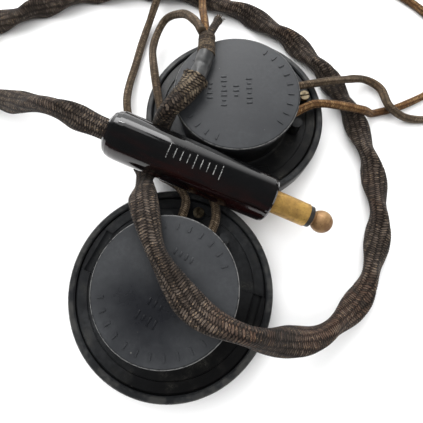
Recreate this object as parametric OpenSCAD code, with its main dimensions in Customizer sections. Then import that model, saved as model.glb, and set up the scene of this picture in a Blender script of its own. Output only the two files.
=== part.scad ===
// Receiver set: two screw-cap earpieces wired in series to one cord with a phone plug.
// Millimetres. Both earpieces lie on their ear caps, +Z up, origin between them on the table.

/* [Ear caps] */
// outside diameter of an ear cap
cap_d = 55; // [50:0.5:58]
// height of an ear cap
cap_h = 7.8; // [7.6:0.1:8.2]
// width of the cap's rim seen from behind
rim_w = 2; // [1.8:0.1:2.4]
// radius of the sound holes
sound_hole_r = 1.6; // [1:0.1:2.4]
// number of sound holes around the middle one
sound_holes = 6; // [4:1:8]

/* [Receiver shells] */
// overall height of a receiver
shell_h = 20.1; // [19.5:0.1:21]
// radius of the drum
drum_r = 16.5; // [16:0.1:17]
// radius of the back plate
back_r = 17.6; // [17.2:0.1:18]
// height of the flange's top
flange_top = 7.4; // [7:0.1:7.5]
// running clearance of the screwed joints
run_gap = 0.05; // [0.02:0.01:0.1]

/* [Phone plug] */
// radius of the plug's shell
barrel_r = 6.5; // [6:0.1:6.6]
// length of the shell
barrel_len = 46; // [44:0.5:48]
// radius of the sleeve contact
sleeve_r = 3.175; // [3.1:0.005:3.2]
// length of the sleeve contact
sleeve_len = 10.8; // [9:0.1:12]
// radius of the ball contact
ball_r = 3.1; // [2.8:0.05:3.15]

/* [Cords] */
// radius of the main cord
cord_r = 3; // [2.6:0.1:3]
// radius of a receiver lead
lead_r = 1.3; // [1:0.1:1.3]

/* [Terminals] */
// radius of a terminal screw's head
screw_head_r = 1.5; // [1.3:0.1:1.6]
// radius of a terminal screw's shank
screw_r = 1.05; // [0.8:0.05:1.05]

/* [Hidden] */
// half the distance between the receivers along X and Y
rx = 9;
ry = 26.3;
// how each receiver is turned: its terminal side looks along this angle
lower_turn = 67.5;
upper_turn = 8;
cap_r = cap_d / 2;
bore_r = cap_r - rim_w;
screw_thread_r = bore_r - run_gap;
// face plate of the ear cap, and the height that the diaphragm's top sits at
face_t = 2.8;
seat_z = 4.2;
// inner walls of the shell: the diaphragm seat's and the drum's
seat_r = 21.6;
drum_bore_r = 14;
// side turn of the two flange pockets, their half length, depth and inner edge, and the scoop along each
pocket_turn = 86;
pocket_half = 6;
pocket_depth = 0.5;
pocket_x = 18.6;
scoop_x = 22.6;
scoop_r = 1.6;
scoop_lift = 0.5;
// step down of the flange's inner part
step_r = 22.3;
step_depth = 0.35;
// terminal recess: its back wall, the screws' and the lead barrels' places
recess_x = 11.5;
recess_half = 7;
screw_y = 2.1;
screw_z = 12.8;
lead_y = 4.5;
lead_z = 10.8;
// anchor boss between the leads: its place, radius and top, and its screw's shank and head height
anchor_x = 21.4;
anchor_y = 0.8;
anchor_r = 1.5;
anchor_top = 10.6;
anchor_shank_r = 0.8;
anchor_shank_len = 2.8;
anchor_head_h = 1.3;
// magnet's underside, its outside and opening, and its two fixing screws
magnet_z = 13.6;
magnet_r = 13.3;
magnet_bore_r = 8;
fixing_y = 10.4;
fixing_r = 1.1;
// distance of each pole core from the middle
core_y = 4;
// the plug: middle of the shell's front face, heading and slope
plug_pos = [17.6, -3.3, 14.1];
plug_head = -20.7;
plug_slope = 11.5;
ring_len = 1.3;
ring_r = 2.95;
ball_z = 15.5;
rod_r = 1.25;
collar_r = 5;
collar_len = 7;
// hole in the shell's rear end
rear_hole_r = cord_r + 0.6;
// the shell's screwed joint: its bore over the sleeve's collar
shell_bore = collar_r + run_gap;

// main cord, from the plug's terminals to the junction
main_route = [
    [-2.57, 4.32, 18.49], [-24.57, 12.63, 23.27], [-33.27, 15.92, 25.17], [-40.5, 19.4, 23.8],
    [-53, 26.1, 14.2], [-66, 32.3, 5.8], [-80, 41, 3.3], [-84.2, 50, 3.3], [-78, 61.5, 3.3],
    [-62, 69.8, 3.3], [-44, 77, 3.3], [-24, 79.5, 3.3], [-6, 76.8, 3.3], [11, 69.8, 3.3],
    [26, 59.8, 3.3], [39, 45, 3.3], [47.5, 27, 3.3], [51.6, 6, 3.3], [50.4, -11, 3.3],
    [43.9, -27.2, 3.6], [31.9, -36.9, 7.6], [18.5, -38.3, 16.4], [8.5, -35.9, 23.2], [-1.6, -30.9, 23.6],
    [-10.4, -19, 23.6], [-13.5, -9.8, 23.7], [-15, -4.8, 21.4], [-16.6, 1, 13], [-17, 7, 10.4],
    [-15.7, 12.2, 11], [-12.9, 16.8, 14.4], [-9.2, 18.8, 23], [-6.6, 21.5, 23.7]
];
// doubled braid, black sleeving and whipping where the leads leave the cord
braid_route = [[-6.2, 22, 23.7], [-4.3, 24.7, 23.5], [-2.2, 28, 23.3]];
sleeving_route = [[-1.9, 28.6, 22.8], [0.3, 35.6, 22.7]];
whipping_route = [[0.5, 36.2, 22.6], [0.7, 43, 22.5]];
stub_route = [[1.9, 43.5, 23.2], [3.9, 48.4, 22]];
// near lead, junction to the lower receiver
near_route = [
    [-1, 43.7, 23.6], [-3, 49.8, 20.4], [-7.9, 59.2, 13], [-13.9, 62, 7.2], [-17.5, 54.5, 5.4],
    [-16.2, 40.4, 9.5], [-11.2, 19, 9.6], [-2.6, 5.8, 9.45], [1.6, 0.2, 9.4], [3.2, -6.4, 10.2],
    [1.51, -12.69, 10.8]
];
// jumper, lower receiver to the upper one
jumper_route = [
    [-6.8, -9.24, 10.8], [-5.2, -2.6, 10.2], [-6.9, 1, 10], [-10, 4, 7.8], [-13.8, 7.4, 3.4],
    [-21, 17.2, 2], [-25.7, 32, 3.4], [-23.9, 50, 1.6], [-20.5, 64, 2.6], [-14, 78, 8.4],
    [-6, 92, 2.4], [10, 98.6, 1.4], [34, 98.8, 1.4], [58, 94.3, 1.4], [79.5, 83.5, 1.4],
    [93, 65, 1.4], [92, 43, 1.4], [80, 29.4, 1.4], [66.5, 27.6, 1.8], [59.4, 30.2, 4.7],
    [58.4, 38.8, 2.2], [54, 41.6, 2.6], [42.4, 37.6, 8.4], [33.5, 35.4, 9.8], [24.8, 33.1, 10.8]
];
// far lead, junction to the upper receiver
far_route = [
    [0.5, 43.7, 21.2], [-0.2, 52, 18.4], [-1, 64, 11.4], [-0.8, 75, 8.8], [3.5, 86.6, 2.2],
    [20, 91.8, 1.4], [44, 90, 1.4], [68, 81.5, 1.4], [84.5, 62, 1.4], [82, 43.4, 1.4],
    [66, 32.8, 1.4], [54.6, 29.4, 1.8], [51.8, 28.2, 5], [48, 27, 8.7], [34, 28.3, 9.8],
    [26.07, 24.15, 10.8]
];

// unit vector, direction at a route point, one ring, and the whole ring list of a round cord
function unit(v) = v / norm(v);
function heading(p, i) = unit(
    (i < len(p) - 1 ? unit(p[i + 1] - p[i]) : [0, 0, 0]) + (i > 0 ? unit(p[i] - p[i - 1]) : [0, 0, 0]));
function side(t) = unit(cross(t, [0, 0, 1]));
function ring(p, i, r, n) =
    let (t = heading(p, i), s = side(t), u = cross(s, t))
    [for (k = [0 : n - 1]) p[i] + r * (cos(360 * k / n) * s + sin(360 * k / n) * u)];
function rings(p, r, n) = [for (i = [0 : len(p) - 1]) each ring(p, i, r, n)];
function walls(m, n) = [
    for (i = [0 : m - 2], k = [0 : n - 1])
        each [
            [i * n + k, (i + 1) * n + k, (i + 1) * n + (k + 1) % n],
            [i * n + k, (i + 1) * n + (k + 1) % n, i * n + (k + 1) % n]
        ]
];
function ends(m, n) = [
    [for (k = [0 : n - 1]) k],
    [for (k = [n - 1 : -1 : 0]) (m - 1) * n + k]
];

module tube(p, r, n) {
    polyhedron(points = rings(p, r, n), faces = concat(walls(len(p), n), ends(len(p), n)));
}

// places a receiver's piece at the lower or upper seat
module at_lower() {
    translate([-rx, -ry, 0]) rotate([0, 0, lower_turn]) children();
}
module at_upper() {
    translate([rx, ry, 0]) rotate([0, 0, upper_turn]) children();
}
// places a plug piece: +Z runs from the shell's front face towards the ball
module at_plug() {
    translate(plug_pos) rotate([0, 90 + plug_slope, plug_head]) children();
}

// ---- one receiver, ear cap down, terminal side along +X

module ear_cap() {
    difference() {
        rotate_extrude($fn = 128) polygon([
            [0, 1.2], [13, 1], [19, 0.5], [22, 0.1], [23, 0], [26.2, 0], [26.9, 0.3], [cap_r - 0.2, 0.9],
            [cap_r, 1.7], [cap_r, cap_h - 1], [cap_r - 0.1, cap_h - 0.5], [cap_r - 0.3, cap_h - 0.2],
            [cap_r - 0.6, cap_h], [bore_r + 0.4, cap_h], [bore_r, cap_h - 0.3], [bore_r, face_t], [0, face_t]
        ]);
        translate([0, 0, -1]) cylinder(r = sound_hole_r, h = 5, $fn = 32);
        for (a = [0 : 360 / sound_holes : 359])
            rotate([0, 0, a]) translate([7, 0, -1]) cylinder(r = sound_hole_r, h = 5, $fn = 32);
    }
}

module gasket() {
    translate([0, 0, face_t + 0.05]) difference() {
        cylinder(r = bore_r - 0.3, h = 0.95, $fn = 128);
        translate([0, 0, -1]) cylinder(r = seat_r - 0.9, h = 3, $fn = 128);
    }
}

module diaphragm() {
    translate([0, 0, seat_z - 0.25]) cylinder(r = bore_r - 0.9, h = 0.25, $fn = 128);
}

module shell_form() {
    rotate_extrude($fn = 128) polygon([
        [seat_r, seat_z], [screw_thread_r, seat_z], [screw_thread_r, flange_top - 0.8],
        [screw_thread_r - 0.3, flange_top - 0.2], [screw_thread_r - 0.6, flange_top],
        [step_r + 0.15, flange_top], [step_r, flange_top - 0.1], [step_r, flange_top - step_depth],
        [drum_r + 0.7, flange_top - step_depth], [drum_r + 0.2, flange_top - step_depth + 0.2],
        [drum_r, flange_top + 0.4],
        [drum_r, shell_h - 3.2], [drum_r - 0.5, shell_h - 2.9], [drum_r - 0.5, shell_h - 2.5],
        [back_r - 0.3, shell_h - 2.1], [back_r, shell_h - 1.8], [back_r, shell_h - 0.5],
        [back_r - 0.15, shell_h - 0.15], [back_r - 0.5, shell_h], [0, shell_h], [0, shell_h - 2.1],
        [drum_bore_r, shell_h - 2.1], [drum_bore_r, flange_top - 1.1], [seat_r, flange_top - 1.1]
    ]);
}

// flange recess with a scoop along it, one each side of the terminals
module flange_pocket() {
    translate([pocket_x, -pocket_half, flange_top - pocket_depth]) cube([8, 2 * pocket_half, 1]);
    translate([scoop_x, 0, flange_top + scoop_lift]) rotate([90, 0, 0])
        cylinder(r = scoop_r, h = 2 * pocket_half, center = true, $fn = 48);
}

module housing() {
    difference() {
        union() {
            difference() {
                shell_form();
                for (s = [-1, 1]) rotate([0, 0, pocket_turn * s]) flange_pocket();
            }
            // floor and walls of the terminal recess
            translate([9.7, -8.6, flange_top - 1.1]) cube([5.2, 17.2, shell_h - flange_top]);
            // rounded lugs at the recess's ends
            for (s = [-1, 1]) translate([16.9, 8 * s, flange_top - 0.5]) cylinder(r = 1.7, h = 5.6, $fn = 40);
            // anchor boss
            translate([anchor_x, anchor_y, flange_top - 0.5])
                cylinder(r = anchor_r, h = anchor_top - flange_top + 0.5, $fn = 40);
            // raised marks around the back plate
            for (a = [-60 : 12 : 60]) rotate([0, 0, a + 180])
                translate([14.2, -0.25, shell_h - 0.1]) cube([1.6, 0.5, 0.35]);
            for (a = [-48 : 12 : 48]) rotate([0, 0, a])
                translate([14.2, -0.25, shell_h - 0.1]) cube([1.6, 0.5, 0.35]);
        }
        translate([recess_x, -recess_half, flange_top + 0.8])
            cube([8, 2 * recess_half, shell_h - flange_top - 3.7]);
        translate([anchor_x, anchor_y, anchor_top - anchor_shank_len - 0.2])
            cylinder(r = anchor_shank_r + 0.05, h = 4, $fn = 32);
        // terminal screw holes
        for (s = [-1, 1]) translate([9, screw_y * s, screw_z]) rotate([0, 90, 0])
            cylinder(r = screw_r + 0.05, h = 4, $fn = 32);
    }
}

// open ring magnet under the back plate
module magnet() {
    translate([0, 0, magnet_z]) difference() {
        cylinder(r = magnet_r, h = shell_h - 2.2 - magnet_z, $fn = 96);
        translate([0, 0, -1]) cylinder(r = magnet_bore_r, h = 8, $fn = 96);
        translate([7.6, -14, -1]) cube([10, 28, 8]);
        for (s = [-1, 1]) translate([0, fixing_y * s, -1])
            cylinder(r = fixing_r + 0.05, h = 4, $fn = 32);
    }
}

// two soft-iron pole pieces, each a core and a foot under the magnet
module pole_pieces() {
    for (s = [-1, 1]) difference() {
        union() {
            translate([-3, core_y * s - 1, 4.6]) cube([6, 2, 7.9]);
            translate([-3.4, s > 0 ? 3 : -12.6, 12.4]) cube([6.8, 9.6, 1.2]);
        }
        translate([0, fixing_y * s, 11]) cylinder(r = fixing_r + 0.05, h = 4, $fn = 32);
    }
}

module coil_bobbins() {
    for (s = [-1, 1]) translate([0, core_y * s, 0]) difference() {
        union() {
            translate([-5, -3.2, 5.2]) cube([10, 6.4, 0.7]);
            translate([-5, -3.2, 11.6]) cube([10, 6.4, 0.7]);
            translate([-3.7, -1.65, 5.2]) cube([7.4, 3.3, 7]);
        }
        translate([-3.05, -1.05, 4]) cube([6.1, 2.1, 9]);
    }
}

module coil_windings() {
    for (s = [-1, 1]) translate([0, core_y * s, 5.95]) difference() {
        translate([-4.6, -2.9, 0]) cube([9.2, 5.8, 5.6]);
        translate([-3.75, -1.7, -1]) cube([7.5, 3.4, 8]);
    }
}

module magnet_screws() {
    for (s = [-1, 1]) translate([0, fixing_y * s, 0]) difference() {
        union() {
            translate([0, 0, 11]) cylinder(r = 1.9, h = 1.35, $fn = 40);
            translate([0, 0, 12]) cylinder(r = fixing_r, h = 4.4, $fn = 32);
        }
        translate([-2.5, -0.3, 10.5]) cube([5, 0.6, 1.1]);
    }
}

module terminal_plates() {
    for (s = [-1, 1]) difference() {
        translate([recess_x, s > 0 ? 0.4 : -5.9, 9.6]) cube([1.1, 5.5, 6.4]);
        translate([10, screw_y * s, screw_z]) rotate([0, 90, 0])
            cylinder(r = screw_r + 0.05, h = 4, $fn = 32);
    }
}

module terminal_screws() {
    for (s = [-1, 1]) translate([0, screw_y * s, screw_z]) rotate([0, 90, 0]) difference() {
        union() {
            translate([0, 0, recess_x + 1.75]) cylinder(r = screw_head_r, h = 1.4, $fn = 40);
            translate([0, 0, recess_x - 1.6]) cylinder(r = screw_r, h = 3.6, $fn = 32);
        }
        translate([-2, -0.25, recess_x + 2.5]) cube([4, 0.5, 2]);
    }
}

// slotted screw of the anchor boss
module anchor_screw() {
    translate([anchor_x, anchor_y, anchor_top]) difference() {
        union() {
            cylinder(r = screw_head_r, h = anchor_head_h, $fn = 40);
            translate([0, 0, -anchor_shank_len])
                cylinder(r = anchor_shank_r, h = anchor_shank_len + 0.5, $fn = 32);
        }
        translate([-2, -0.25, anchor_head_h - 0.7]) cube([4, 0.5, 1]);
    }
}

// lead tip: a flat eye under the screw's head with a crimped barrel beside it
module lead_tips() {
    for (s = [-1, 1]) difference() {
        union() {
            translate([recess_x + 1.1, screw_y * s, screw_z]) rotate([0, 90, 0])
                cylinder(r = 1.9, h = 0.6, $fn = 40);
            translate([recess_x + 1.1, lead_y * s, lead_z]) rotate([0, 90, 0])
                cylinder(r = 1.42, h = 3.95, $fn = 40);
            translate([recess_x + 1.1, 3.3 * s - 1.2, lead_z - 0.6]) cube([0.6, 2.4, 2]);
        }
        translate([recess_x, screw_y * s, screw_z]) rotate([0, 90, 0])
            cylinder(r = screw_r + 0.05, h = 4, $fn = 32);
    }
}

module lower_housing() { color([0.1, 0.1, 0.11]) at_lower() housing(); }
module upper_housing() { color([0.1, 0.1, 0.11]) at_upper() housing(); }
module lower_ear_cap() { color([0.08, 0.08, 0.09]) at_lower() ear_cap(); }
module upper_ear_cap() { color([0.08, 0.08, 0.09]) at_upper() ear_cap(); }
module lower_gasket() { color([0.5, 0.42, 0.3]) at_lower() gasket(); }
module upper_gasket() { color([0.5, 0.42, 0.3]) at_upper() gasket(); }
module lower_diaphragm() { color([0.4, 0.4, 0.42]) at_lower() diaphragm(); }
module upper_diaphragm() { color([0.4, 0.4, 0.42]) at_upper() diaphragm(); }
module lower_magnet() { color([0.3, 0.3, 0.32]) at_lower() magnet(); }
module upper_magnet() { color([0.3, 0.3, 0.32]) at_upper() magnet(); }
module lower_pole_pieces() { color([0.55, 0.55, 0.56]) at_lower() pole_pieces(); }
module upper_pole_pieces() { color([0.55, 0.55, 0.56]) at_upper() pole_pieces(); }
module lower_coil_bobbins() { color([0.3, 0.16, 0.08]) at_lower() coil_bobbins(); }
module upper_coil_bobbins() { color([0.3, 0.16, 0.08]) at_upper() coil_bobbins(); }
module lower_coil_windings() { color([0.6, 0.3, 0.15]) at_lower() coil_windings(); }
module upper_coil_windings() { color([0.6, 0.3, 0.15]) at_upper() coil_windings(); }
module lower_magnet_screws() { color([0.6, 0.6, 0.62]) at_lower() magnet_screws(); }
module upper_magnet_screws() { color([0.6, 0.6, 0.62]) at_upper() magnet_screws(); }
module lower_terminal_plates() { color([0.65, 0.5, 0.25]) at_lower() terminal_plates(); }
module upper_terminal_plates() { color([0.65, 0.5, 0.25]) at_upper() terminal_plates(); }
module lower_terminal_screws() { color([0.6, 0.55, 0.45]) at_lower() terminal_screws(); }
module upper_terminal_screws() { color([0.6, 0.55, 0.45]) at_upper() terminal_screws(); }
module lower_anchor_screw() { color([0.6, 0.55, 0.45]) at_lower() anchor_screw(); }
module upper_anchor_screw() { color([0.6, 0.55, 0.45]) at_upper() anchor_screw(); }
module lower_lead_tips() { color([0.7, 0.55, 0.3]) at_lower() lead_tips(); }
module upper_lead_tips() { color([0.7, 0.55, 0.3]) at_upper() lead_tips(); }

// ---- phone plug, built along +Z from the shell's front face

module plug_shell() {
    color([0.05, 0.04, 0.04]) at_plug() difference() {
        rotate_extrude($fn = 96) polygon([
            [rear_hole_r, -barrel_len + 0.2], [3.9, -barrel_len], [4.6, -barrel_len + 0.2],
            [5.5, -barrel_len + 0.8], [6.1, -barrel_len + 1.7], [6.4, -barrel_len + 2.8],
            [barrel_r, -barrel_len + 4.2], [barrel_r, -1.4], [6.3, -0.6], [5.9, -0.15], [5.4, 0],
            [shell_bore, 0], [shell_bore, -36], [rear_hole_r, -38]
        ]);
    }
}

// brass sleeve contact with its screwed collar inside the shell
module plug_sleeve() {
    color([0.72, 0.53, 0.24]) at_plug() difference() {
        union() {
            translate([0, 0, -collar_len]) cylinder(r = collar_r, h = collar_len + 0.05, $fn = 64);
            cylinder(r = sleeve_r, h = sleeve_len, $fn = 64);
        }
        translate([0, 0, -8]) cylinder(r = 2.3, h = sleeve_len + 9, $fn = 48);
    }
}

module plug_ring() {
    color([0.07, 0.06, 0.06]) at_plug() translate([0, 0, sleeve_len]) difference() {
        cylinder(r = ring_r, h = ring_len, $fn = 64);
        translate([0, 0, -1]) cylinder(r = rod_r + 0.05, h = 4, $fn = 40);
    }
}

module plug_insulator() {
    color([0.4, 0.25, 0.15]) at_plug() translate([0, 0, -11]) difference() {
        union() {
            cylinder(r = 4, h = 3.95, $fn = 64);
            cylinder(r = 2.25, h = sleeve_len + 11, $fn = 48);
        }
        translate([0, 0, -1]) cylinder(r = rod_r + 0.05, h = sleeve_len + 13, $fn = 40);
    }
}

// ball contact on its rod
module plug_tip() {
    color([0.7, 0.5, 0.23]) at_plug() union() {
        rotate_extrude($fn = 64) polygon(concat(
            [[0, sleeve_len + ring_len], [2.4, sleeve_len + ring_len], [1.9, sleeve_len + ring_len + 0.5],
             [1.8, sleeve_len + ring_len + 1]],
            [for (a = [-48 : 8 : 90]) [ball_r * cos(a), ball_z + ball_r * sin(a)]],
            [[0, ball_z + ball_r]]
        ));
        translate([0, 0, -16]) cylinder(r = rod_r, h = 16.1 + sleeve_len + ring_len, $fn = 40);
    }
}

// terminals behind the insulator: one on the collar, one on the rod
module plug_terminals() {
    color([0.7, 0.58, 0.35]) at_plug() {
        difference() {
            union() {
                translate([0, 0, -12]) cylinder(r = 3.9, h = 0.95, $fn = 48);
                translate([2.9, -1.5, -19]) cube([0.9, 3, 7.5]);
            }
            translate([0, 0, -13]) cylinder(r = 2, h = 4, $fn = 40);
            translate([2, 0, -16.5]) rotate([0, 90, 0]) cylinder(r = 0.85, h = 4, $fn = 32);
        }
        difference() {
            translate([-1.7, -1.7, -19]) cube([3.4, 3.4, 5]);
            translate([0, 0, -20]) cylinder(r = rod_r + 0.05, h = 8, $fn = 40);
            translate([-4, 0, -17.6]) rotate([0, 90, 0]) cylinder(r = 0.85, h = 4, $fn = 32);
        }
    }
}

module plug_screws() {
    color([0.62, 0.6, 0.55]) at_plug() {
        translate([3.85, 0, -16.5]) rotate([0, 90, 0]) difference() {
            union() {
                cylinder(r = 1.4, h = 0.8, $fn = 32);
                translate([0, 0, -1.3]) cylinder(r = 0.8, h = 1.4, $fn = 32);
            }
            translate([-2, -0.2, 0.4]) cube([4, 0.4, 1]);
        }
        translate([-1.75, 0, -17.6]) rotate([0, -90, 0]) difference() {
            union() {
                cylinder(r = 1.4, h = 0.8, $fn = 32);
                translate([0, 0, -0.9]) cylinder(r = 0.8, h = 1, $fn = 32);
            }
            translate([-2, -0.2, 0.4]) cube([4, 0.4, 1]);
        }
    }
}

// thread binding that stops the braid's end inside the shell
module plug_binding() {
    color([0.3, 0.26, 0.2]) at_plug() translate([0, 0, -26]) difference() {
        cylinder(r = cord_r + 0.8, h = 3.5, $fn = 48);
        translate([0, 0, -1]) cylinder(r = cord_r + 0.05, h = 6, $fn = 48);
    }
}

// hairpin washer that rides with the shell against the collar
module plug_washer() {
    color([0.55, 0.52, 0.45]) at_plug() translate([0, 0, -7.65]) difference() {
        cylinder(r = collar_r - 0.1, h = 0.6, $fn = 48);
        translate([0, 0, -1]) cylinder(r = 4.15, h = 3, $fn = 48);
    }
}

// ---- cords

module main_cord() { color([0.24, 0.2, 0.18]) tube(main_route, cord_r, 10); }
module junction_braid() { color([0.27, 0.23, 0.19]) tube(braid_route, 3, 10); }
module junction_sleeving() { color([0.05, 0.05, 0.05]) tube(sleeving_route, 2.4, 10); }
module junction_whipping() { color([0.2, 0.17, 0.15]) tube(whipping_route, 2.3, 10); }
module junction_stub() { color([0.32, 0.26, 0.2]) tube(stub_route, 1, 8); }
module near_lead() { color([0.35, 0.29, 0.22]) tube(near_route, lead_r, 8); }
module jumper_lead() { color([0.36, 0.31, 0.23]) tube(jumper_route, lead_r, 8); }
module far_lead() { color([0.48, 0.33, 0.2]) tube(far_route, lead_r, 8); }

lower_housing();
lower_ear_cap();
lower_gasket();
lower_diaphragm();
lower_magnet();
lower_pole_pieces();
lower_coil_bobbins();
lower_coil_windings();
lower_magnet_screws();
lower_terminal_plates();
lower_terminal_screws();
lower_anchor_screw();
lower_lead_tips();
upper_housing();
upper_ear_cap();
upper_gasket();
upper_diaphragm();
upper_magnet();
upper_pole_pieces();
upper_coil_bobbins();
upper_coil_windings();
upper_magnet_screws();
upper_terminal_plates();
upper_terminal_screws();
upper_anchor_screw();
upper_lead_tips();
plug_shell();
plug_sleeve();
plug_ring();
plug_insulator();
plug_tip();
plug_terminals();
plug_screws();
plug_binding();
plug_washer();
main_cord();
junction_braid();
junction_sleeving();
junction_whipping();
junction_stub();
near_lead();
jumper_lead();
far_lead();
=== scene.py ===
import math

import bpy
import numpy as np
from mathutils import Matrix, Vector


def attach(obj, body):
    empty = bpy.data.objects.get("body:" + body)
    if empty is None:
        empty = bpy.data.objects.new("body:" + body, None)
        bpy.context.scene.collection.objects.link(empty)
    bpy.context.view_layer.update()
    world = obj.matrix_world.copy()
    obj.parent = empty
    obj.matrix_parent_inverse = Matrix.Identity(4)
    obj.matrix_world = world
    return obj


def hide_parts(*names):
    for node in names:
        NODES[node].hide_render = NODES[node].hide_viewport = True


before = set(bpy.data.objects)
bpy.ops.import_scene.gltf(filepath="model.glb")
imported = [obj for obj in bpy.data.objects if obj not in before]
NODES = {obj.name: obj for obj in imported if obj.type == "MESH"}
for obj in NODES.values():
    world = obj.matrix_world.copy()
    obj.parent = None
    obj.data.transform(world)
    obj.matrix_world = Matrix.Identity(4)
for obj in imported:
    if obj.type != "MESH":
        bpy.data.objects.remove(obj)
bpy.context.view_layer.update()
MM = 0.001

# ---------------------------------------------------------------- the object's own places, in millimetres

RECEIVERS = {"lower": ((-9, -26.3), 67.5), "upper": ((9, 26.3), 8)}
BACK_PLATE_R = 17.6
BACK_PLATE_TOP = 20.1
CAP_BORE_R = 25.5
CAP_TOP = 7.2
PLUG_AT = (17.6, -3.3, 14.1)
PLUG_TURN = (0, math.radians(90 + 11.5), math.radians(-20.7))
BARREL_R = 6.5
LEAD_R = 1.3
FLOOR_GAP = 0.05
BRAID_MAP = 100  # millimetres of cord to one unit of the braid map

# ---------------------------------------------------------------- camera

CAMERA_AT = (1.95, -27.9, 104.9)
CAMERA_TILT = 16.74
SENSOR_WIDTH = 36
LENS = 29.787
SHIFT_Y = -0.0508


def add_camera():
    cam = bpy.data.cameras.new("view")
    cam.sensor_width = SENSOR_WIDTH
    cam.lens = LENS
    cam.shift_y = SHIFT_Y
    cam.clip_start = 0.005
    ob = bpy.data.objects.new("view", cam)
    ob.location = Vector(CAMERA_AT) * MM
    ob.rotation_euler = (math.radians(CAMERA_TILT), 0, 0)
    bpy.context.collection.objects.link(ob)
    bpy.context.scene.camera = ob


# ---------------------------------------------------------------- routes of the cords, as in the CAD source

MAIN = [
    (-2.57, 4.32, 18.49), (-24.57, 12.63, 23.27), (-33.27, 15.92, 25.17), (-40.5, 19.4, 23.8),
    (-53, 26.1, 14.2), (-66, 32.3, 5.8), (-80, 41, 3.3), (-84.2, 50, 3.3), (-78, 61.5, 3.3),
    (-62, 69.8, 3.3), (-44, 77, 3.3), (-24, 79.5, 3.3), (-6, 76.8, 3.3), (11, 69.8, 3.3),
    (26, 59.8, 3.3), (39, 45, 3.3), (47.5, 27, 3.3), (51.6, 6, 3.3), (50.4, -11, 3.3),
    (43.9, -27.2, 3.6), (31.9, -36.9, 7.6), (18.5, -38.3, 16.4), (8.5, -35.9, 23.2), (-1.6, -30.9, 23.6),
    (-10.4, -19, 23.6), (-13.5, -9.8, 23.7), (-15, -4.8, 21.4), (-16.6, 1, 13), (-17, 7, 10.4),
    (-15.7, 12.2, 11), (-12.9, 16.8, 14.4), (-9.2, 18.8, 23), (-6.6, 21.5, 23.7),
]
BRAID = [(-6.2, 22, 23.7), (-4.3, 24.7, 23.5), (-2.2, 28, 23.3)]
SLEEVING = [(-1.9, 28.6, 22.8), (0.3, 35.6, 22.7)]
WHIPPING = [(0.5, 36.2, 22.6), (0.7, 43, 22.5)]
STUB = [(1.9, 43.5, 23.2), (3.9, 48.4, 22)]
NEAR = [
    (-1, 43.7, 23.6), (-3, 49.8, 20.4), (-7.9, 59.2, 13), (-13.9, 62, 7.2), (-17.5, 54.5, 5.4),
    (-16.2, 40.4, 9.5), (-11.2, 19, 9.6), (-2.6, 5.8, 9.45), (1.6, 0.2, 9.4), (3.2, -6.4, 10.2),
    (1.51, -12.69, 10.8),
]
JUMPER = [
    (-6.8, -9.24, 10.8), (-5.2, -2.6, 10.2), (-6.9, 1, 10), (-10, 4, 7.8), (-13.8, 7.4, 3.4),
    (-21, 17.2, 2), (-25.7, 32, 3.4), (-23.9, 50, 1.6), (-20.5, 64, 2.6), (-14, 78, 8.4),
    (-6, 92, 2.4), (10, 98.6, 1.4), (34, 98.8, 1.4), (58, 94.3, 1.4), (79.5, 83.5, 1.4),
    (93, 65, 1.4), (92, 43, 1.4), (80, 29.4, 1.4), (66.5, 27.6, 1.8), (59.4, 30.2, 4.7),
    (58.4, 38.8, 2.2), (54, 41.6, 2.6), (42.4, 37.6, 8.4), (33.5, 35.4, 9.8), (24.8, 33.1, 10.8),
]
FAR = [
    (0.5, 43.7, 21.2), (-0.2, 52, 18.4), (-1, 64, 11.4), (-0.8, 75, 8.8), (3.5, 86.6, 2.2),
    (20, 91.8, 1.4), (44, 90, 1.4), (68, 81.5, 1.4), (84.5, 62, 1.4), (82, 43.4, 1.4),
    (66, 32.8, 1.4), (54.6, 29.4, 1.8), (51.8, 28.2, 5), (48, 27, 8.7), (34, 28.3, 9.8),
    (26.07, 24.15, 10.8),
]
# distances along the main cord where its oval section stands on edge, so that it looks narrow from above
EDGE_ON = [20, 38, 82, 99, 117, 134, 153, 172, 192, 212, 231, 248, 265, 283, 301, 320, 340, 369, 396, 426, 447]


def smooth_route(points, step):
    """Points every step millimetres along a centripetal spline through the route's points."""
    p = np.array(points, float)
    p = np.vstack([2 * p[0] - p[1], p, 2 * p[-1] - p[-2]])
    out = []
    for a, b, c, d in zip(p, p[1:], p[2:], p[3:]):
        t1 = np.linalg.norm(b - a) ** 0.5
        t2 = t1 + np.linalg.norm(c - b) ** 0.5
        t3 = t2 + np.linalg.norm(d - c) ** 0.5
        t = np.linspace(t1, t2, 40, endpoint=False)[:, None]
        ab = (t1 - t) / t1 * a + t / t1 * b
        bc = (t2 - t) / (t2 - t1) * b + (t - t1) / (t2 - t1) * c
        cd = (t3 - t) / (t3 - t2) * c + (t - t2) / (t3 - t2) * d
        abc = (t2 - t) / t2 * ab + t / t2 * bc
        bcd = (t3 - t) / (t3 - t1) * bc + (t - t1) / (t3 - t1) * cd
        out.append((t2 - t) / (t2 - t1) * abc + (t - t1) / (t2 - t1) * bcd)
    out = np.vstack(out + [p[-2]])
    run = np.concatenate([[0], np.cumsum(np.linalg.norm(np.diff(out, axis=0), axis=1))])
    at = np.linspace(0, run[-1], max(int(round(run[-1] / step)), 2) + 1)
    path = np.stack([np.interp(at, run, out[:, k]) for k in range(3)], axis=1)
    blur = max(int(round(1.2 / step)), 1)
    for _ in range(blur):
        path[1:-1] = (path[:-2] + 2 * path[1:-1] + path[2:]) / 4
    return path, at


def route_frames(path):
    """Side and top of each point of a path; the top keeps as near +Z as it can."""
    tangent = np.gradient(path, axis=0)
    tangent /= np.linalg.norm(tangent, axis=1)[:, None]
    side = np.cross(tangent, (0, 0, 1))
    side /= np.linalg.norm(side, axis=1)[:, None]
    return side, np.cross(side, tangent)


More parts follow.
